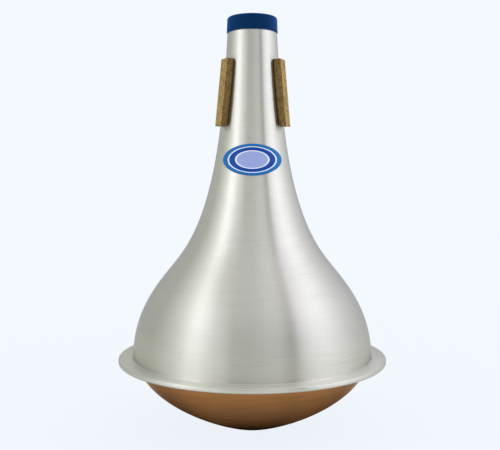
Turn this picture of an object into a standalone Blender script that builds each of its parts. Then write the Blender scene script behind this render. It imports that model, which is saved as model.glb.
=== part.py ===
import math

import bpy
from mathutils import Matrix

# Trombone straight mute, standing on the flat in the middle of its copper dish.
# Lengths are in metres. The origin is the centre of that flat, +Z runs up the
# mute to its throat, and the label faces -Y.

# Sheet metal, and the gap left between pieces that touch
BELL_SHEET = 0.0008
DISH_SHEET = 0.0006
CLEARANCE = 0.0003

# Rim: the bell's brim is folded round the dish's flange
RIM_RADIUS = 0.085
BRIM_WIDTH = 0.009              # bell wall out to the rim's edge
BRIM_FILLET = 0.003
HEM_REVEAL = 0.002              # dish's bend out to the end of the folded hem

# Dish below the rim
DISH_DEPTH = 0.0444             # middle of the rim down to the flat
DISH_INSET = 0.002              # dish wall inside the line of the bell wall
DISH_BEND = 0.0015
DISH_WALL_ANGLE = 9.7           # lean of the wall at the rim, degrees from upright
DISH_WALL_PULL = 0.26
SEAT_RADIUS = 0.014
SEAT_ANGLE = 17.8               # rise of the dome where it leaves the flat, degrees
SEAT_PULL = 0.40
SEAT_ROUND = 0.008

# Bell, with heights above the middle of the rim
BELL_HEIGHT = 0.2051            # up to the shoulder that the throat ring stands on
NECK_RADIUS = 0.01563
NECK_ANGLE = 3.4
NECK_PULL = 0.32
FLARE_HEIGHT = 0.0659
FLARE_RADIUS = 0.0456
FLARE_ANGLE = 36.3
FLARE_PULL_UP = 0.286
FLARE_PULL_DOWN = 0.26
WALL_ANGLE = 1.0
WALL_PULL = 0.467
SHOULDER_ROUND = 0.0004

# Throat ring: a rubber channel pushed over the bell's narrow end
RING_HEIGHT = 0.0095
RING_PROUD = 0.00045            # beyond the neck
RING_DRAFT = 0.00035            # narrower at the top
RING_WALL = 0.0011              # leg outside the bell
RING_LEG = 0.001                # leg inside the bell
RING_LEG_DEPTH = 0.006
RING_CROWN = 0.0018             # rubber above the bell's edge
RING_ROUND = 0.0013
RING_EDGE_ROUND = 0.0003

# Cork strips, about a third of a turn apart, glued on by hand: degrees round
# from the label, and degrees of turn clockwise as seen from outside
CORK_PLACES = {"cork_strip_right": (64.0, -0.6),
               "cork_strip_back": (183.5, 0.0),
               "cork_strip_left": (303.0, 2.2)}
CORK_DROP = 0.0173              # below the shoulder
CORK_LENGTH = 0.0415
CORK_WIDTH = 0.0073
CORK_THICKNESS = 0.0044
CORK_EDGE = 0.0003

# Oval label on the front of the neck
LABEL_GAP = 0.0114              # below the corks
LABEL_WIDTH = 0.0362            # straight across, seen from the front
LABEL_HEIGHT = 0.0193
LABEL_THICKNESS = 0.0002

# Fineness of the turned surfaces
TURN_STEPS = 56
NECK_POINTS = 12
WALL_POINTS = 9
DISH_POINTS = 10
ARC_STEP = 30.0                 # degrees of each facet of a rounded corner
LABEL_POINTS = 40

# Places that follow from the sizes
rim_z = DISH_DEPTH
hem_half = BELL_SHEET + CLEARANCE + DISH_SHEET / 2
foot_radius = RIM_RADIUS - BRIM_WIDTH
bowl_radius = foot_radius - DISH_INSET
flange_radius = RIM_RADIUS - hem_half
shoulder_z = rim_z + BELL_HEIGHT
ring_bottom = shoulder_z + CLEARANCE
ring_top = ring_bottom + RING_HEIGHT
ring_radius = NECK_RADIUS + RING_PROUD
tip_top = ring_top - RING_CROWN - CLEARANCE
tip_radius = ring_radius - RING_WALL - CLEARANCE
tip_inside = tip_radius - BELL_SHEET
cork_top = shoulder_z - CORK_DROP
cork_bottom = cork_top - CORK_LENGTH
label_z = cork_bottom - LABEL_GAP - LABEL_HEIGHT / 2


def curve_down(start, start_angle, start_pull, end, end_angle, end_pull, count):
    """A smooth run from start to end. Angles are from straight down, outwards
    positive, and a pull is the length of its handle as a share of the chord."""
    chord = math.dist(start, end)
    out_turn = math.radians(start_angle)
    in_turn = math.radians(end_angle)
    handle_1 = (start[0] + start_pull * chord * math.sin(out_turn),
                start[1] - start_pull * chord * math.cos(out_turn))
    handle_2 = (end[0] - end_pull * chord * math.sin(in_turn),
                end[1] + end_pull * chord * math.cos(in_turn))
    points = []
    for step in range(count):
        t = step / (count - 1)
        weights = ((1 - t) ** 3, 3 * (1 - t) ** 2 * t, 3 * (1 - t) * t ** 2, t ** 3)
        anchors = (start, handle_1, handle_2, end)
        points.append(tuple(sum(w * p[axis] for w, p in zip(weights, anchors)) for axis in (0, 1)))
    return points


def rounded(corners, closed=False):
    """The outline through (radius, height) corners. A third number rounds the
    corner with an arc of that size, as far as the sides beside it allow."""
    points = []
    count = len(corners)
    for index, corner in enumerate(corners):
        here = corner[:2]
        inner = closed or 0 < index < count - 1
        if len(corner) == 2 or not inner:
            points.append(here)
            continue
        before = corners[index - 1][:2]
        after = corners[(index + 1) % count][:2]
        length_in = math.dist(before, here)
        length_out = math.dist(here, after)
        way_in = ((here[0] - before[0]) / length_in, (here[1] - before[1]) / length_in)
        way_out = ((after[0] - here[0]) / length_out, (after[1] - here[1]) / length_out)
        turn = math.atan2(way_in[0] * way_out[1] - way_in[1] * way_out[0],
                          way_in[0] * way_out[0] + way_in[1] * way_out[1])
        tangent = min(corner[2] * math.tan(abs(turn) / 2), length_in / 2, length_out / 2)
        radius = tangent / math.tan(abs(turn) / 2)
        side = math.copysign(1, turn)
        centre = (here[0] - tangent * way_in[0] - side * radius * way_in[1],
                  here[1] - tangent * way_in[1] + side * radius * way_in[0])
        facets = max(2, math.ceil(math.degrees(abs(turn)) / ARC_STEP))
        heading = math.atan2(way_in[1], way_in[0]) - side * math.pi / 2
        for facet in range(facets + 1):
            angle = heading + turn * facet / facets
            points.append((centre[0] + radius * math.cos(angle), centre[1] + radius * math.sin(angle)))
    kept = [points[0]]
    for point in points[1:]:
        if math.dist(point, kept[-1]) > CLEARANCE / 10:
            kept.append(point)
    return kept


def offset(points, distance):
    """A downward outline moved outwards, square to itself."""
    moved = []
    last = len(points) - 1
    for index, (radius, height) in enumerate(points):
        before = points[max(index - 1, 0)]
        after = points[min(index + 1, last)]
        length = math.dist(before, after)
        moved.append((radius - distance * (after[1] - before[1]) / length,
                      height + distance * (after[0] - before[0]) / length))
    return moved


def radius_at(outline, height):
    """Radius of a downward outline at a height."""
    for upper, lower in zip(outline, outline[1:]):
        if lower[1] <= height <= upper[1]:
            share = (upper[1] - height) / (upper[1] - lower[1])
            return upper[0] + share * (lower[0] - upper[0])
    return outline[-1][0]


def material(name, colour, metallic, roughness):
    made = bpy.data.materials.new(name)
    made.use_nodes = True
    made.diffuse_color = (*colour, 1.0)
    shader = made.node_tree.nodes["Principled BSDF"]
    shader.inputs["Base Color"].default_value = (*colour, 1.0)
    shader.inputs["Metallic"].default_value = metallic
    shader.inputs["Roughness"].default_value = roughness
    return made


def turned(name, outline, closed=False):
    """Turn an outline round the Z axis."""
    mesh = bpy.data.meshes.new(name)
    edges = [(index, index + 1) for index in range(len(outline) - 1)]
    if closed:
        edges.append((len(outline) - 1, 0))
    mesh.from_pydata([(radius, 0.0, height) for radius, height in outline], edges, [])
    piece = bpy.data.objects.new(name, mesh)
    screw = piece.modifiers.new("Turn", "SCREW")
    screw.axis = "Z"
    screw.steps = TURN_STEPS
    screw.render_steps = TURN_STEPS
    screw.use_merge_vertices = True
    screw.merge_threshold = 0.00001
    screw.use_smooth_shade = True
    return piece


def thicken(piece, sheet):
    """Give a turned surface its wall, inwards from the drawn side."""
    wall = piece.modifiers.new("Sheet", "SOLIDIFY")
    wall.thickness = sheet
    wall.offset = -1
    wall.use_even_offset = True
    wall.use_quality_normals = True


def cut(piece, operation, cutter):
    boolean = piece.modifiers.new("Cut", "BOOLEAN")
    boolean.operation = operation
    boolean.solver = "EXACT"
    boolean.object = cutter


def bell_curve():
    """The bell's outside from the shoulder down to the brim."""
    flare = (FLARE_RADIUS, rim_z + FLARE_HEIGHT)
    neck = curve_down((NECK_RADIUS, shoulder_z), NECK_ANGLE, NECK_PULL,
                      flare, FLARE_ANGLE, FLARE_PULL_UP, NECK_POINTS)
    wall = curve_down(flare, FLARE_ANGLE, FLARE_PULL_DOWN,
                      (foot_radius, rim_z + hem_half), WALL_ANGLE, WALL_PULL, WALL_POINTS)
    return neck + wall[1:]


def body_shell(bell):
    """One spun sheet: throat end, neck, bell, brim and the hem folded under it."""
    shoulder = (NECK_RADIUS, shoulder_z, SHOULDER_ROUND)
    foot = (foot_radius, rim_z + hem_half, BRIM_FILLET)
    hem_end = bowl_radius + DISH_BEND + HEM_REVEAL
    corners = [(tip_radius, tip_top),
               (tip_radius, shoulder_z),
               shoulder,
               *bell[1:-1],
               foot,
               (RIM_RADIUS, rim_z + hem_half, hem_half),
               (RIM_RADIUS, rim_z - hem_half, hem_half),
               (hem_end, rim_z - hem_half)]
    piece = turned("body_shell", rounded(corners))
    thicken(piece, BELL_SHEET)
    return piece


def base_dish():
    """One spun sheet: flange held in the hem, dome, and the flat it stands on."""
    underside = rim_z - DISH_SHEET / 2
    dome = curve_down((bowl_radius, underside), -DISH_WALL_ANGLE, DISH_WALL_PULL,
                      (SEAT_RADIUS, 0.0), SEAT_ANGLE - 90.0, SEAT_PULL, DISH_POINTS)
    corners = [(flange_radius, underside),
               (*dome[0], DISH_BEND),
               *dome[1:-1],
               (*dome[-1], SEAT_ROUND),
               (0.0, 0.0)]
    piece = turned("base_dish", rounded(corners))
    thicken(piece, DISH_SHEET)
    return piece


def throat_ring():
    """A channel section that wraps the bell's cut edge."""
    channel_out = tip_radius + CLEARANCE
    channel_in = tip_inside - CLEARANCE
    channel_top = tip_top + CLEARANCE
    leg_bottom = ring_top - RING_LEG_DEPTH
    bore = channel_in - RING_LEG
    corners = [(ring_radius - RING_DRAFT, ring_top, RING_ROUND),
               (ring_radius, ring_bottom, RING_EDGE_ROUND),
               (channel_out, ring_bottom),
               (channel_out, channel_top),
               (channel_in, channel_top),
               (channel_in, leg_bottom),
               (bore, leg_bottom, RING_EDGE_ROUND),
               (bore, ring_top, RING_ROUND / 2)]
    return turned("throat_ring", rounded(corners, closed=True), closed=True)


def neck_core(bell):
    """The neck's outside plus the clearance, as a solid that shapes the corks' backs."""
    outside = offset(bell, CLEARANCE)
    return turned("neck_core", [(0.0, outside[0][1]), *outside, (0.0, outside[-1][1])])


def cork_strip(name, azimuth, tilt, bell, core):
    """A straight strip whose back is hollowed to the neck."""
    top = (radius_at(bell, cork_top) + CORK_THICKNESS, cork_top)
    bottom = (radius_at(bell, cork_bottom) + CORK_THICKNESS, cork_bottom)
    length = math.dist(top, bottom)
    lean = math.atan2(bottom[0] - top[0], top[1] - bottom[1])
    depth = CORK_THICKNESS + CORK_WIDTH / 2
    bpy.ops.mesh.primitive_cube_add(size=1)
    piece = bpy.context.object
    piece.name = name
    piece.data.name = name
    piece.data.transform(Matrix.Diagonal((depth, CORK_WIDTH, length, 1.0)))
    piece.data.transform(Matrix.Translation((-depth / 2, 0.0, 0.0)))
    middle = (top[0] + bottom[0]) / 2
    facing = math.radians(azimuth - 90.0)
    piece.location = (middle * math.cos(facing), middle * math.sin(facing), (top[1] + bottom[1]) / 2)
    piece.rotation_euler = (-math.radians(tilt), -lean, facing)
    edges = piece.modifiers.new("Edges", "BEVEL")
    edges.width = CORK_EDGE
    edges.segments = 1
    cut(piece, "DIFFERENCE", core)
    return piece


def label_outline(bell):
    """An oval bar along Y that cuts the label out of its sheet."""
    reach = radius_at(bell, label_z - LABEL_HEIGHT)
    bpy.ops.mesh.primitive_cylinder_add(vertices=LABEL_POINTS, radius=0.5, depth=1)
    oval = bpy.context.object
    oval.name = "label_outline"
    oval.data.transform(Matrix.Rotation(math.pi / 2, 4, "X"))
    oval.data.transform(Matrix.Diagonal((LABEL_WIDTH, reach, LABEL_HEIGHT, 1.0)))
    oval.location = (0.0, -reach / 2 - CLEARANCE, label_z)
    return oval


def oval_label(bell, outline):
    """A thin sheet that follows the neck, trimmed to the oval."""
    front = offset(bell, CLEARANCE + LABEL_THICKNESS)
    back = offset(bell, CLEARANCE)
    piece = turned("oval_label", front + back[::-1], closed=True)
    cut(piece, "INTERSECT", outline)
    return piece


def place(piece, collection):
    for holder in tuple(piece.users_collection):
        holder.objects.unlink(piece)
    collection.objects.link(piece)


def main():
    for old in tuple(bpy.data.objects):
        bpy.data.objects.remove(old)
    mute = bpy.data.collections.new("trombone_straight_mute")
    cutters = bpy.data.collections.new("cutters")
    for collection in (mute, cutters):
        bpy.context.scene.collection.children.link(collection)

    aluminium = material("spun_aluminium", (0.60, 0.61, 0.58), 1.0, 0.36)
    copper = material("spun_copper", (0.53, 0.25, 0.12), 1.0, 0.40)
    rubber = material("blue_rubber", (0.008, 0.045, 0.18), 0.0, 0.55)
    cork = material("cork", (0.38, 0.25, 0.11), 0.0, 0.90)
    vinyl = material("label_vinyl", (0.03, 0.15, 0.46), 0.0, 0.30)

    bell = bell_curve()
    core = neck_core(bell)
    outline = label_outline(bell)
    for guide in (core, outline):
        place(guide, cutters)
        guide.hide_render = True
        guide.display_type = "WIRE"

    pieces = [(body_shell(bell), aluminium),
              (base_dish(), copper),
              (throat_ring(), rubber),
              (oval_label(bell, outline), vinyl)]
    for name, (azimuth, tilt) in CORK_PLACES.items():
        pieces.append((cork_strip(name, azimuth, tilt, bell, core), cork))

    axis = bpy.data.objects.new("mute_axis", None)
    mute.objects.link(axis)
    for piece, finish in pieces:
        place(piece, mute)
        piece.data.materials.append(finish)
        piece.parent = axis


main()
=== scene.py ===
import math

import bmesh
import bpy
from mathutils import Matrix, Vector, noise
from mathutils.geometry import interpolate_bezier


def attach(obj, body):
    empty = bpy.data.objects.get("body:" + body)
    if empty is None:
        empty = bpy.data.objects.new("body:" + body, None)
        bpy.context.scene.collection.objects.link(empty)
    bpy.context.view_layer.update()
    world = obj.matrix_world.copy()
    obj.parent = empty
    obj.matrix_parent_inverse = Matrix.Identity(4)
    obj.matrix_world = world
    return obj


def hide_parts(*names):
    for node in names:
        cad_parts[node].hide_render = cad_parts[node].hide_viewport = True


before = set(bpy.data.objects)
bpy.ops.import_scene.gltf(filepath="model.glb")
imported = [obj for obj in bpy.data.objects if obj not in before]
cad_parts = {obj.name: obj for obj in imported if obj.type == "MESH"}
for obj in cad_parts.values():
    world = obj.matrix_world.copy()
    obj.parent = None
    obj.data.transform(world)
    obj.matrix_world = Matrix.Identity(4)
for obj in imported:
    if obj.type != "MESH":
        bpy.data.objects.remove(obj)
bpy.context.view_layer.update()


# curves and turned shapes, in metres and in the same frame as the solids:
# the mute stands on z = 0, with its label towards -Y

def curveDown(start, startLean, startPull, end, endLean, endPull, steps):
    # leans are degrees from straight down, outwards positive; pulls are shares of the chord
    chord = math.dist(start, end)
    a, b = math.radians(startLean), math.radians(endLean)
    first = Vector((start[0], 0, start[1]))
    last = Vector((end[0], 0, end[1]))
    handleA = first + Vector((math.sin(a), 0, -math.cos(a))) * startPull * chord
    handleB = last - Vector((math.sin(b), 0, -math.cos(b))) * endPull * chord
    return interpolate_bezier(first, handleA, handleB, last, steps)


def profile(points, rounds, closed=False):
    # a wire of vertices; rounds gives (vertex number, distance along the sides, segments)
    bm = bmesh.new()
    verts = [bm.verts.new(p) for p in points]
    for a, b in zip(verts, verts[1:]):
        bm.edges.new((a, b))
    if closed:
        bm.edges.new((verts[-1], verts[0]))
    for index, distance, segments in rounds:
        bmesh.ops.bevel(bm, geom=[verts[index]], offset=distance, offset_type="OFFSET",
                        segments=segments, profile=0.5, affect="VERTICES", material=-1)
    return bm


def turn(bm, steps):
    bmesh.ops.spin(bm, geom=bm.verts[:] + bm.edges[:], cent=(0, 0, 0), axis=(0, 0, 1),
                   dvec=(0, 0, 0), angle=2 * math.pi, steps=steps, use_merge=True)
    bmesh.ops.remove_doubles(bm, verts=bm.verts[:], dist=0.000005)
    bmesh.ops.recalc_face_normals(bm, faces=bm.faces[:])


def faceOutwards(bm, lowest):
    # an open skin of revolution: a face at the flare looks away from the axis, the lowest down
    if lowest:
        pick = min(bm.faces, key=lambda f: f.calc_center_median().z)
        away = Vector((0, 0, -1))
    else:
        pick = min(bm.faces, key=lambda f: abs(f.calc_center_median().z - bell["flare"][1]))
        away = pick.calc_center_median() * Vector((1, 1, 0))
    if pick.normal.dot(away) < 0:
        bmesh.ops.reverse_faces(bm, faces=bm.faces[:])


def pieceFrom(bm, name, sharpAngle=35):
    mesh = bpy.data.meshes.new(name)
    bm.to_mesh(mesh)
    bm.free()
    mesh.shade_smooth()
    mesh.set_sharp_from_angle(angle=math.radians(sharpAngle))
    piece = bpy.data.objects.new(name, mesh)
    bpy.context.scene.collection.objects.link(piece)
    return piece


def thicken(piece, thickness):
    wall = piece.modifiers.new("wall", "SOLIDIFY")
    wall.thickness = thickness
    wall.offset = -1
    wall.use_even_offset = True
    wall.use_quality_normals = True


def dress(piece, node, material):
    piece.data.materials.clear()
    piece.data.materials.append(material)
    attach(piece, "root")
    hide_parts(node)


# material building blocks

def newMaterial(name):
    material = bpy.data.materials.new(name)
    material.use_nodes = True
    tree = material.node_tree
    return material, tree, tree.nodes["Principled BSDF"]


def fill(tree, node, inputs):
    # values are put on the sockets, other nodes' outputs are linked to them
    for key, value in inputs.items():
        socket = node.inputs[key]
        if isinstance(value, bpy.types.NodeSocket):
            tree.links.new(value, socket)
        else:
            socket.default_value = (*value, 1) if socket.type == "RGBA" else value


def add(tree, kind, inputs=None, **settings):
    node = tree.nodes.new(kind)
    for key, value in settings.items():
        setattr(node, key, value)
    fill(tree, node, inputs or {})
    return node


def calculated(tree, operation, *values):
    node = add(tree, "ShaderNodeMath", dict(enumerate(values)), operation=operation)
    return node.outputs[0]


def vectorMath(tree, operation, *values):
    return add(tree, "ShaderNodeVectorMath", dict(enumerate(values)), operation=operation)


def splitUp(tree, vector):
    return add(tree, "ShaderNodeSeparateXYZ", {0: vector}).outputs


def remap(tree, socket, low, high, toLow, toHigh):
    node = add(tree, "ShaderNodeMapRange", {"Value": socket, "From Min": low, "From Max": high,
                                            "To Min": toLow, "To Max": toHigh})
    return node.outputs["Result"]


def graded(tree, socket, low, high, stops, interpolation="LINEAR"):
    # a colour ramp whose stops are given in the socket's own unit, as numbers or as colours
    ramp = add(tree, "ShaderNodeValToRGB", {"Fac": remap(tree, socket, low, high, 0, 1)})
    ramp.color_ramp.interpolation = interpolation
    elements = ramp.color_ramp.elements
    elements.remove(elements[1])
    for index, (value, colour) in enumerate(stops):
        position = (value - low) / (high - low)
        element = elements[0] if index == 0 else elements.new(position)
        element.position = position
        element.color = (*(colour if isinstance(colour, tuple) else (colour,) * 3), 1)
    return ramp.outputs["Color"]


def blended(tree, share, first, second, blend="MIX"):
    node = add(tree, "ShaderNodeMixRGB", {"Fac": share, "Color1": first, "Color2": second},
               blend_type=blend)
    return node.outputs[0]


def shadersMixed(tree, share, first, second):
    return add(tree, "ShaderNodeMixShader", {0: share, 1: first, 2: second}).outputs[0]


def bumped(tree, height, strength, distance):
    node = add(tree, "ShaderNodeBump", {"Strength": strength, "Distance": distance,
                                        "Height": height})
    return node.outputs[0]


# spun metal

spin = {
    # marks per metre and their detail
    "marks": {"Fine": (2600, 3.0), "Broad": (620, 4.0)},
    "wander": 2.2,        # how much they change round the axis
    # between which of their values the metal goes from dark to light, or smooth to rough
    "broadRange": (0.3, 0.7), "fineRange": (0.25, 0.75), "roughness": (0.32, 0.40),
    # the deepest ones are darker, most of all low on the bell
    "scored": (0.53, 0.60), "scoredTone": (0.88, 0.88, 0.88),
    "scoredHeights": (0.090, 0.055), "scoredShare": (0.1, 0.8),
}


def spinLinesGroup():
    # fine turning marks: values that change along the outline and hardly round the axis
    group = bpy.data.node_groups.new("spinLines", "ShaderNodeTree")
    group.interface.new_socket("Wander", in_out="INPUT", socket_type="NodeSocketFloat")
    for name in spin["marks"]:
        group.interface.new_socket(name, in_out="OUTPUT", socket_type="NodeSocketFloat")
    wander = add(group, "NodeGroupInput").outputs["Wander"]
    outputs = add(group, "NodeGroupOutput")
    split = splitUp(group, add(group, "ShaderNodeTexCoord").outputs["Object"])
    flat = add(group, "ShaderNodeCombineXYZ", {"X": split["X"], "Y": split["Y"]}).outputs[0]
    radius = vectorMath(group, "LENGTH", flat).outputs["Value"]
    heading = splitUp(group, vectorMath(group, "NORMALIZE", flat).outputs[0])
    for name, (perMetre, detail) in spin["marks"].items():
        vector = add(group, "ShaderNodeCombineXYZ", {
            "X": calculated(group, "MULTIPLY", radius, perMetre),
            "Y": calculated(group, "MULTIPLY", heading["X"], wander),
            "Z": calculated(group, "MULTIPLY", heading["Y"], wander)})
        wave = add(group, "ShaderNodeTexNoise", {
            "Vector": vector.outputs[0], "W": calculated(group, "MULTIPLY", split["Z"], perMetre),
            "Scale": 1.0, "Detail": detail, "Roughness": 0.65}, noise_dimensions="4D")
        fill(group, outputs, {name: wave.outputs["Fac"]})
    return group


def spunMetal(name, look, *paintedShading):
    material, tree, shader = newMaterial(name)
    marks = add(tree, "ShaderNodeGroup", {"Wander": spin["wander"]}, node_tree=spinLines).outputs
    height = splitUp(tree, add(tree, "ShaderNodeTexCoord").outputs["Object"])["Z"]
    shade = blended(tree, remap(tree, marks["Broad"], *spin["broadRange"], 0, 1),
                    look["dark"], look["light"])
    deep = remap(tree, marks["Broad"], *spin["scored"], 0, 1)
    low = remap(tree, height, *spin["scoredHeights"], *spin["scoredShare"])
    shade = blended(tree, calculated(tree, "MULTIPLY", deep, low), shade, spin["scoredTone"],
                    "MULTIPLY")
    # painted light and shade by height, the same all round, multiplied into the metal's colour
    for stops in paintedShading:
        paintedLightAndShade = graded(tree, height, stops[0][0], stops[-1][0], stops)
        shade = blended(tree, 1, shade, paintedLightAndShade, "MULTIPLY")
    tangent = add(tree, "ShaderNodeTangent", direction_type="RADIAL", axis="Z")
    fill(tree, shader, {
        "Base Color": shade,
        "Roughness": remap(tree, marks["Fine"], *spin["fineRange"], *spin["roughness"]),
        "Metallic": 1.0, "Specular Tint": (look["mirrorEdge"],) * 3,
        "Anisotropic": 0.95, "Anisotropic Rotation": 0.25, "Tangent": tangent.outputs[0],
        "Normal": bumped(tree, marks["Fine"], strength=0.25, distance=0.00002)})
    return material


# bell, with the brim and the hem folded under it

# thickness of the two sheets, and what is left open between pieces
sheet = {"bell": 0.0008, "dish": 0.0006, "gap": 0.0003}

rim = {
    "z": 0.0444, "radius": 0.085, "brim": 0.009, "hemReveal": 0.002,
    "fold": 0.0007, "edge": 0.0008,
    # painted highlight and shade by height: how much lighter or darker the metal is painted, the
    # lip and the brim's top lighter, the fold above them darker
    "paintedShading": ((0.0430, 1.32), (0.0449, 1.27), (0.0452, 0.99), (0.0456, 0.99), (0.04575, 1.33),
              (0.04585, 1.33), (0.0460, 0.90), (0.0465, 0.88), (0.0468, 0.99), (0.0482, 1.0),
              (0.0490, 1.0)),
}
rim["half"] = sheet["bell"] + sheet["gap"] + sheet["dish"] / 2

bell = {
    "shoulder": 0.2495, "shoulderRound": 0.0003,    # top of the neck, under the ring
    "neck": 0.01563,
    "neckLean": 3.4, "neckPull": 0.32,
    "flare": (0.0456, 0.1103),                      # radius and height between neck and wall
    "flareLean": 36.3, "flareUp": 0.286, "flareDown": 0.26,
    "wallLean": 1.0, "wallPull": 0.467,
    "curveSteps": 44, "turnSteps": 224,
    "dark": (0.566, 0.554, 0.487), "light": (0.618, 0.606, 0.533), "mirrorEdge": 0.7,
    # painted shade and light by height, the same all round: down to 7.5 percent darker low on the
    # bell, up to 3 percent lighter on the neck
    "paintedShading": ((0.047, 0.98), (0.057, 0.98), (0.063, 0.95), (0.069, 0.925), (0.075, 0.945),
              (0.083, 0.97), (0.095, 0.97), (0.113, 0.985), (0.126, 1.0), (0.154, 1.03),
              (0.182, 1.02), (0.22, 1.0), (0.25, 0.98)),
}
footRadius = rim["radius"] - rim["brim"]


def bellCurve():
    flare = bell["flare"]
    neck = curveDown((bell["neck"], bell["shoulder"]), bell["neckLean"], bell["neckPull"],
                     flare, bell["flareLean"], bell["flareUp"], bell["curveSteps"])
    wall = curveDown(flare, bell["flareLean"], bell["flareDown"],
                     (footRadius, rim["z"] + rim["half"]), bell["wallLean"], bell["wallPull"],
                     bell["curveSteps"])
    return neck + wall[1:]


def radiusAt(z):
    # outside of the bell at a height
    for upper, lower in zip(neckLine, neckLine[1:]):
        if lower.z <= z <= upper.z:
            return upper.x + (upper.z - z) / (upper.z - lower.z) * (lower.x - upper.x)
    return neckLine[0].x


def makeBell():
    half = rim["half"]
    hemEnd = bowlRadius + dish["bend"] + rim["hemReveal"]
    top = [Vector((tipRadius, 0, tipTop)), Vector((tipRadius, 0, bell["shoulder"]))]
    brim = [Vector((rim["radius"], 0, rim["z"] + half)),
            Vector((rim["radius"], 0, rim["z"] - half)), Vector((hemEnd, 0, rim["z"] - half))]
    points = top + neckLine + brim
    shoulder, foot = len(top), len(top) + len(neckLine) - 1
    bm = profile(points, [(shoulder, bell["shoulderRound"], 4), (foot, rim["fold"], 4),
                          (foot + 1, rim["edge"], 6), (foot + 2, rim["edge"], 6)])
    turn(bm, bell["turnSteps"])
    faceOutwards(bm, lowest=False)
    piece = pieceFrom(bm, "bellShell")
    thicken(piece, sheet["bell"])
    return piece


# copper dish

dish = {
    "inset": 0.002, "bend": 0.0015, "bendRound": 0.00108,
    "wallLean": 9.7, "wallPull": 0.26,
    "seat": 0.014, "seatRise": 17.8, "seatPull": 0.40, "seatRound": 0.0010,
    "curveSteps": 36, "turnSteps": 224,
    "dark": (0.60, 0.272, 0.094), "light": (0.84, 0.380, 0.136), "mirrorEdge": 1.0,
    # painted shade by height, the same all round: the copper is painted darker towards its flat, to
    # 18 percent of its colour at 6 mm and under
    "paintedShading": ((0.006, 0.18), (0.0085, 0.38), (0.010, 0.56), (0.012, 0.72), (0.015, 0.79),
              (0.018, 0.84), (0.022, 0.90), (0.030, 0.93), (0.039, 0.92)),
}
bowlRadius = footRadius - dish["inset"]


def makeDish():
    under = rim["z"] - sheet["dish"] / 2
    dome = curveDown((bowlRadius, under), -dish["wallLean"], dish["wallPull"],
                     (dish["seat"], 0), dish["seatRise"] - 90, dish["seatPull"], dish["curveSteps"])
    points = [Vector((rim["radius"] - rim["half"], 0, under))] + dome + [Vector((0, 0, 0))]
    bm = profile(points, [(1, dish["bendRound"], 6), (len(points) - 2, dish["seatRound"], 4)])
    turn(bm, dish["turnSteps"])
    faceOutwards(bm, lowest=True)
    piece = pieceFrom(bm, "copperDish")
    thicken(piece, sheet["dish"])
    return piece


# throat ring

ring = {
    "height": 0.0095, "proud": 0.00045, "draft": 0.00035,
    "wall": 0.0011, "leg": 0.001, "legDepth": 0.006, "crown": 0.0018,
    "round": 0.0013, "boreRound": 0.000715, "edge": 0.0003, "innerEdge": 0.00015,
    "turnSteps": 160,
    "speckle": 1800, "roughness": (0.5, 0.66),
    "dark": (0.0010, 0.019, 0.066), "light": (0.0024, 0.031, 0.098),
    "sheen": (0.02, 0.26, 0.90),
}
ringBottom = bell["shoulder"] + sheet["gap"]
ringTop = ringBottom + ring["height"]
ringRadius = bell["neck"] + ring["proud"]
tipTop = ringTop - ring["crown"] - sheet["gap"]
tipRadius = ringRadius - ring["wall"] - sheet["gap"]


def makeRing():
    gap = sheet["gap"]
    tipInside = tipRadius - sheet["bell"]
    channelTop = tipTop + gap
    legBottom = ringTop - ring["legDepth"]
    bore = tipInside - gap - ring["leg"]
    corners = [(ringRadius - ring["draft"], ringTop), (ringRadius, ringBottom),
               (tipRadius + gap, ringBottom), (tipRadius + gap, channelTop),
               (tipInside - gap, channelTop), (tipInside - gap, legBottom),
               (bore, legBottom), (bore, ringTop)]
    bm = profile([Vector((r, 0, z)) for r, z in corners],
                 [(0, ring["round"], 8), (1, ring["edge"], 3), (2, ring["innerEdge"], 2),
                  (6, ring["edge"], 3), (7, ring["boreRound"], 6)], closed=True)
    turn(bm, ring["turnSteps"])
    return pieceFrom(bm, "throatRing", sharpAngle=50)


def rubberMaterial():
    material, tree, shader = newMaterial("navyRubber")
    place = add(tree, "ShaderNodeTexCoord").outputs["Object"]
    speckle = add(tree, "ShaderNodeTexNoise", {"Scale": ring["speckle"], "Detail": 4,
                                               "Vector": place}).outputs["Fac"]
    fill(tree, shader, {
        "Base Color": blended(tree, speckle, ring["dark"], ring["light"]),
        "Roughness": remap(tree, speckle, 0.3, 0.7, *ring["roughness"]),
        "Specular IOR Level": 0.04, "Sheen Weight": 0.8, "Sheen Roughness": 0.45,
        "Sheen Tint": ring["sheen"],
        "Normal": bumped(tree, speckle, strength=0.35, distance=0.00004)})
    return material


# cork strips

corks = {
    # degrees round from the label, and degrees of turn clockwise as seen from outside
    "places": {"cork_strip_right": (64.0, -0.6), "cork_strip_back": (183.5, 0.0),
               "cork_strip_left": (303.0, 2.2)},
    "top": 0.2322, "length": 0.0415, "width": 0.0073, "thickness": 0.0044,
    "glue": 0.00006,                      # left between cork and neck
    "cuts": ((2, 59), (1, 9), (0, 5)),    # cuts across each axis of the box it starts as
    "edge": 0.0002,
    "crumb": 0.00003, "crumbLevel": 0.8, "crumbs": ((900, 1.0), (2100, 0.6)),
    # painted shade on the sides, and a dark line along the neck that is partly glue and partly
    # painted contact shadow: how dark they are, and how far that reaches
    "sideShadeTone": 0.55, "sideShadeGain": 1.3, "glueAndShadowTone": 0.35, "glueAndShadowGain": 1.5, "glueAndShadowLine": 0.0008,
    # colour by the painted shade there, and by the grain
    "tints": ((0.0, (0, 0, 0)), (0.55, (0.545, 0.502, 0.485)), (1.0, (1, 1, 1))),
    "grainScale": 1300, "mottleScale": 1000,
    "grain": ((0.28, (0.130, 0.070, 0.016)), (0.45, (0.338, 0.213, 0.057)),
              (0.72, (0.530, 0.362, 0.110))),
}


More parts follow.
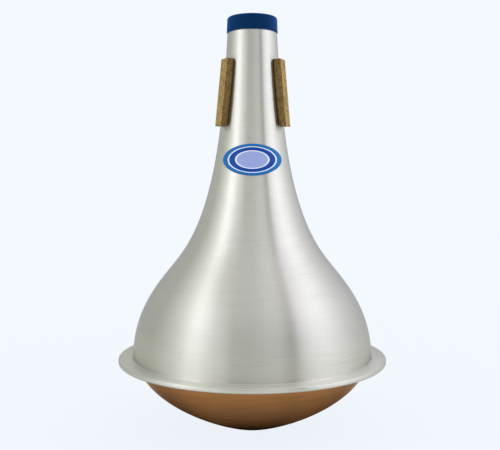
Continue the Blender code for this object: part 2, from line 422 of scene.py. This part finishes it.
def makeCork(name, azimuth, tilt):
    top, bottom = corks["top"], corks["top"] - corks["length"]
    outTop, outBottom = [radiusAt(z) + corks["thickness"] for z in (top, bottom)]
    bm = bmesh.new()
    # a unit box: x from neck to outside, y across, z up
    bmesh.ops.create_cube(bm, size=1)
    for axis, cuts in corks["cuts"]:
        along = [e for e in bm.edges if abs((e.verts[0].co - e.verts[1].co)[axis]) > 0.5]
        bmesh.ops.subdivide_edges(bm, edges=along, cuts=cuts, use_grid_fill=True)
    for v in bm.verts:
        z = bottom + (v.co.z + 0.5) * (top - bottom)
        across = v.co.y * corks["width"] + math.tan(math.radians(tilt)) * (z - (top + bottom) / 2)
        outer = outBottom + (v.co.z + 0.5) * (outTop - outBottom)
        neckFace = math.sqrt((radiusAt(z) + corks["glue"]) ** 2 - across ** 2)
        v.co = Vector((neckFace + (v.co.x + 0.5) * (outer - neckFace), across, z))
    sharp = [e for e in bm.edges
             if len(e.link_faces) == 2 and e.calc_face_angle() > math.radians(60)]
    bmesh.ops.bevel(bm, geom=sharp, offset=corks["edge"], offset_type="OFFSET", segments=2,
                    profile=0.5, affect="EDGES", material=-1)
    bmesh.ops.recalc_face_normals(bm, faces=bm.faces[:])
    bm.normal_update()
    # painted shade on the sides, and a dark line along the neck, partly glue and partly painted
    # contact shadow
    toneLayer = bm.verts.layers.float.new("paintedShadeAndGlue")
    for v in bm.verts:
        side = min(1, v.normal.y ** 2 * corks["sideShadeGain"])
        height = math.hypot(v.co.x, v.co.y) - radiusAt(v.co.z)
        glue = min(1, max(0, 1 - height / corks["glueAndShadowLine"]) * corks["glueAndShadowGain"])
        v[toneLayer] = (1 - side * (1 - corks["sideShadeTone"])) * (1 - glue * (1 - corks["glueAndShadowTone"]))
        crumb = sum(share * noise.noise(v.co * scale) for scale, share in corks["crumbs"])
        v.co += v.normal * corks["crumb"] * (crumb - corks["crumbLevel"])
    facing = Matrix.Rotation(math.radians(azimuth - 90), 3, "Z")
    bmesh.ops.rotate(bm, verts=bm.verts[:], cent=(0, 0, 0), matrix=facing)
    return pieceFrom(bm, name.replace("cork_strip_", "cork_"), sharpAngle=180)


def corkMaterial():
    material, tree, shader = newMaterial("corkGrain")
    place = add(tree, "ShaderNodeTexCoord").outputs["Object"]
    grains = add(tree, "ShaderNodeTexVoronoi", {"Scale": corks["grainScale"], "Vector": place})
    mottle = add(tree, "ShaderNodeTexNoise", {"Scale": corks["mottleScale"], "Detail": 5,
                                              "Roughness": 0.7, "Vector": place})
    both = blended(tree, 0.5, grains.outputs["Color"], mottle.outputs["Fac"])
    grey = add(tree, "ShaderNodeRGBToBW", {0: both}).outputs[0]
    # the painted shade of the sides and the glue line darkens and reddens the grain
    shadeAndGlue = add(tree, "ShaderNodeAttribute", attribute_name="paintedShadeAndGlue").outputs["Fac"]
    fill(tree, shader, {
        "Base Color": blended(tree, 1, graded(tree, grey, 0, 1, corks["grain"]),
                              graded(tree, shadeAndGlue, 0, 1, corks["tints"]), "MULTIPLY"),
        "Roughness": 0.92, "Normal": bumped(tree, grey, strength=0.6, distance=0.00015)})
    return material


# label

label = {
    "z": 0.16965, "width": 0.0362, "height": 0.0193,
    "lift": 0.00005, "thickness": 0.00022, "rings": 16, "segments": 128,
    # concentric ovals from the middle outwards
    "bands": ((0.0, (0.36, 0.43, 0.72)), (0.52, (0.86, 0.88, 0.92)), (0.58, (0.004, 0.066, 0.33)),
              (0.78, (0.86, 0.88, 0.92)), (0.83, (0.010, 0.165, 0.44))),
}


def makeLabel():
    bm = bmesh.new()
    bmesh.ops.create_circle(bm, cap_ends=True, cap_tris=False, segments=label["segments"],
                            radius=1)
    centre = bm.faces[:]
    for _ in range(label["rings"] - 1):
        bmesh.ops.inset_individual(bm, faces=centre, thickness=1 / label["rings"],
                                   use_even_offset=True)
    for v in bm.verts:
        x = v.co.x * label["width"] / 2
        z = label["z"] + v.co.y * label["height"] / 2
        r = radiusAt(z) + label["lift"] + label["thickness"]
        v.co = Vector((x, -math.sqrt(r * r - x * x), z))
    bmesh.ops.recalc_face_normals(bm, faces=bm.faces[:])
    if bm.faces[0].normal.y > 0:
        bmesh.ops.reverse_faces(bm, faces=bm.faces[:])
    piece = pieceFrom(bm, "ovalLabel", sharpAngle=50)
    thicken(piece, label["thickness"])
    return piece


def labelMaterial():
    material, tree, shader = newMaterial("labelPrint")
    wide, high = label["width"] / 2, label["height"] / 2
    oval = add(tree, "ShaderNodeMapping", {
        "Vector": add(tree, "ShaderNodeTexCoord").outputs["Object"],
        "Location": (0, 0, -label["z"] / high), "Scale": (1 / wide, 0, 1 / high)})
    size = vectorMath(tree, "LENGTH", oval.outputs[0]).outputs["Value"]
    fill(tree, shader, {
        "Base Color": graded(tree, size, 0, 1, label["bands"], "CONSTANT"),
        "Roughness": 0.35, "Specular IOR Level": 0.12, "Coat Weight": 0.03})
    return material


# studio

studio = {
    "background": (0.905, 0.947, 1.0),
    # the world's light comes mostly from above and right: its strength there and opposite
    "brightSide": (0.5, 0.0, 0.87), "sides": (-0.2, 0.8), "strength": (0.10, 0.92),
    "floor": (0.80, 0.82, 0.85), "floorSize": 4.0, "floorZ": -0.0002,
    # how much of the floor's brightness is its own, and from where to where that grows to all
    "floorGlow": 0.92, "glowGrows": (0.1, 0.6),
    # what metal sees of the world, by how far round from the label it shows there, in degrees
    "mirrored": ((-90, (0.85, 0.87, 0.92)), (-80, (0.71, 0.74, 0.74)), (-52, (0.25, 0.29, 0.20)),
                 (-30, (0.18, 0.24, 0.08)), (-14, (0.52, 0.54, 0.53)), (0, (0.54, 0.565, 0.575)),
                 (9, (0.72, 0.74, 0.80)), (13, (0.73, 0.75, 0.825)), (16.5, (0.40, 0.41, 0.46)),
                 (18.5, (0.05, 0.052, 0.06)), (20.5, (0.12, 0.124, 0.14)),
                 (23, (0.83, 0.84, 1.00)), (32, (0.42, 0.43, 0.42)), (52, (0.40, 0.415, 0.42)),
                 (80, (0.80, 0.82, 0.90)), (90, (0.85, 0.87, 0.92))),
    # and what is added to it straight overhead
    "mirroredUp": ((13, (0.52, 0.514, 0.586)), (16.5, (0.84, 0.83, 0.90)),
                   (18.5, (1.0, 0.99, 1.0)), (20.5, (1.0, 0.99, 1.0)), (23, (0.84, 0.83, 0.90)),
                   (26, (0.63, 0.625, 0.70)), (30, (0.52, 0.514, 0.586))),
    # what metal sees of the floor, by metres from the mute's axis, brighter in front than beside: a
    # painted shadow, dark close under the mute
    "mirroredFloor": ((0.055, 0.0), (0.09, (0.30, 0.31, 0.34)), (0.15, (0.61, 0.64, 0.62)),
                      (0.22, (0.76, 0.80, 0.70)), (0.30, (0.83, 0.88, 0.78)),
                      (0.50, (0.87, 0.91, 0.89))),
    "floorStretch": (0.82, 1.25, 1),
}


def roundFromLabelGroup():
    # how far round from the label, in degrees, the turned metal mirrors a direction to the front
    group = bpy.data.node_groups.new("roundFromLabel", "ShaderNodeTree")
    group.interface.new_socket("Direction", in_out="INPUT", socket_type="NodeSocketVector")
    group.interface.new_socket("Degrees", in_out="OUTPUT", socket_type="NodeSocketFloat")
    direction = add(group, "NodeGroupInput").outputs["Direction"]
    unit = splitUp(group, vectorMath(group, "NORMALIZE", direction).outputs[0])
    turned = calculated(group, "ARCTAN2", unit["X"], calculated(group, "SUBTRACT", 1, unit["Y"]))
    add(group, "NodeGroupOutput", {"Degrees": calculated(group, "DEGREES", turned)})
    return group


def makeWorld():
    world = bpy.data.worlds.new("studio")
    bpy.context.scene.world = world
    world.use_nodes = True
    tree = world.node_tree
    tree.nodes.clear()
    place = add(tree, "ShaderNodeTexCoord").outputs["Generated"]
    degrees = add(tree, "ShaderNodeGroup", {"Direction": place},
                  node_tree=roundFromLabel).outputs["Degrees"]
    path = add(tree, "ShaderNodeLightPath").outputs
    towards = vectorMath(tree, "DOT_PRODUCT", place, studio["brightSide"]).outputs["Value"]
    light = add(tree, "ShaderNodeBackground", {
        "Color": studio["background"],
        "Strength": remap(tree, towards, *studio["sides"], *studio["strength"])})
    mirrored = add(tree, "ShaderNodeBackground", {
        "Color": blended(tree, splitUp(tree, place)["Z"],
                         graded(tree, degrees, -90, 90, studio["mirrored"]),
                         graded(tree, degrees, -90, 90, studio["mirroredUp"]), "ADD")})
    plain = add(tree, "ShaderNodeBackground", {"Color": studio["background"]})
    surface = light.outputs[0]
    for ray, node in (("Is Transmission Ray", plain), ("Is Glossy Ray", mirrored),
                      ("Is Camera Ray", plain)):
        surface = shadersMixed(tree, path[ray], surface, node.outputs[0])
    add(tree, "ShaderNodeOutputWorld", {"Surface": surface})


def makeFloor():
    bpy.ops.mesh.primitive_plane_add(size=studio["floorSize"], location=(0, 0, studio["floorZ"]))
    floor = bpy.context.object
    floor.name = "studioFloor"
    material, tree, shader = newMaterial("paleFloor")
    fill(tree, shader, {"Base Color": studio["floor"], "Roughness": 0.9,
                        "Specular IOR Level": 0.0})
    # metal sees it with a painted shadow, dark close under the mute; the lens sees it nearly as
    # bright as the world, with the mute's real shadow in what is left
    place = add(tree, "ShaderNodeTexCoord").outputs["Object"]
    path = add(tree, "ShaderNodeLightPath").outputs
    away = vectorMath(tree, "LENGTH", place).outputs["Value"]
    share = remap(tree, away, *studio["glowGrows"], studio["floorGlow"], 1)
    stretched = vectorMath(tree, "MULTIPLY", place, studio["floorStretch"]).outputs[0]
    seen = vectorMath(tree, "LENGTH", stretched).outputs["Value"]
    stops = studio["mirroredFloor"]
    mirrored = add(tree, "ShaderNodeEmission",
                   {"Color": graded(tree, seen, 0, stops[-1][0], stops)})
    plain = add(tree, "ShaderNodeEmission", {"Color": studio["background"]})
    surface = shadersMixed(tree, path["Is Glossy Ray"], shader.outputs[0], mirrored.outputs[0])
    surface = shadersMixed(tree, calculated(tree, "MULTIPLY", path["Is Camera Ray"], share),
                           surface, plain.outputs[0])
    fill(tree, tree.nodes["Material Output"], {"Surface": surface})
    floor.data.materials.append(material)


panels = {
    "wide": 2.6, "tall": 1.05, "place": (0.6, -0.2, 0.525),
    "sight": 0.14,        # height on the mute from which they are seen
    # glow is the brightness by how far round from the label the metal shows it, in degrees
    "left": {"colour": (0.849, 0.852, 1.0),
             "glow": ((10, 0.4), (14, 0.60), (18, 0.85), (22, 1.36), (26, 1.84), (30, 1.89),
                      (34, 1.26), (40, 0.80), (47, 0.47), (55, 0.22), (66, 0.17), (80, 0))},
    "right": {"colour": (0.830, 0.847, 1.0),
              "glow": ((18, 0), (22, 0.04), (26, 0.72), (30, 1.21), (34, 1.45), (40, 1.23),
                       (47, 0.95), (55, 0.58), (66, 0.31), (80, 0))},
}


def makePanel(name, side, colour, glow):
    # a large upright soft panel, brightest along one band and fading to both sides
    x, y, z = panels["place"]
    data = bpy.data.lights.new(name, "AREA")
    data.shape = "RECTANGLE"
    data.size = panels["wide"]
    data.size_y = panels["tall"]
    # makes a glow of 1 as bright as white
    data.energy = math.pi * panels["wide"] * panels["tall"]
    data.color = colour
    data.use_nodes = True
    tree = data.node_tree
    place = add(tree, "ShaderNodeNewGeometry").outputs["Position"]
    seen = vectorMath(tree, "SUBTRACT", place, (0, 0, panels["sight"])).outputs[0]
    degrees = add(tree, "ShaderNodeGroup", {"Direction": seen},
                  node_tree=roundFromLabel).outputs["Degrees"]
    stops = [(angle * side, level) for angle, level in glow]
    fill(tree, tree.nodes["Emission"], {"Strength": graded(tree, degrees, 0, 90 * side, stops)})
    lamp = bpy.data.objects.new(name, data)
    facing = Vector((-side, 0, 0)).to_track_quat("-Z", "Y")
    lamp.matrix_world = Matrix.Translation((side * x, y, z)) @ facing.to_matrix().to_4x4()
    bpy.context.scene.collection.objects.link(lamp)


camera = {"x": -0.00140, "distance": 0.4736, "z": 0.1536, "pitch": 3.0, "lens": 53.4,
          "sensor": 36, "clipStart": 0.01}


def makeCamera():
    data = bpy.data.cameras.new("photoView")
    data.lens = camera["lens"]
    data.sensor_width = camera["sensor"]
    data.clip_start = camera["clipStart"]
    view = bpy.data.objects.new("photoView", data)
    view.location = (camera["x"], -camera["distance"], camera["z"])
    view.rotation_euler = (math.radians(90 - camera["pitch"]), 0, 0)
    bpy.context.scene.collection.objects.link(view)
    bpy.context.scene.camera = view


makeCamera()
bpy.context.scene.view_settings.view_transform = "Standard"
roundFromLabel = roundFromLabelGroup()
makeWorld()
makeFloor()
makePanel("leftPanel", -1, **panels["left"])
makePanel("rightPanel", 1, **panels["right"])
print("studio ready")

neckLine = bellCurve()
spinLines = spinLinesGroup()
aluminium = spunMetal("spunAluminium", bell, bell["paintedShading"], rim["paintedShading"])
copper = spunMetal("spunCopper", dish, dish["paintedShading"])
dress(makeBell(), "body_shell", aluminium)
dress(makeDish(), "base_dish", copper)
print("bell and dish turned")
dress(makeRing(), "throat_ring", rubberMaterial())
cork = corkMaterial()
for corkName, (azimuth, tilt) in corks["places"].items():
    dress(makeCork(corkName, azimuth, tilt), corkName, cork)
print("ring and corks on")
dress(makeLabel(), "oval_label", labelMaterial())
print("label on")
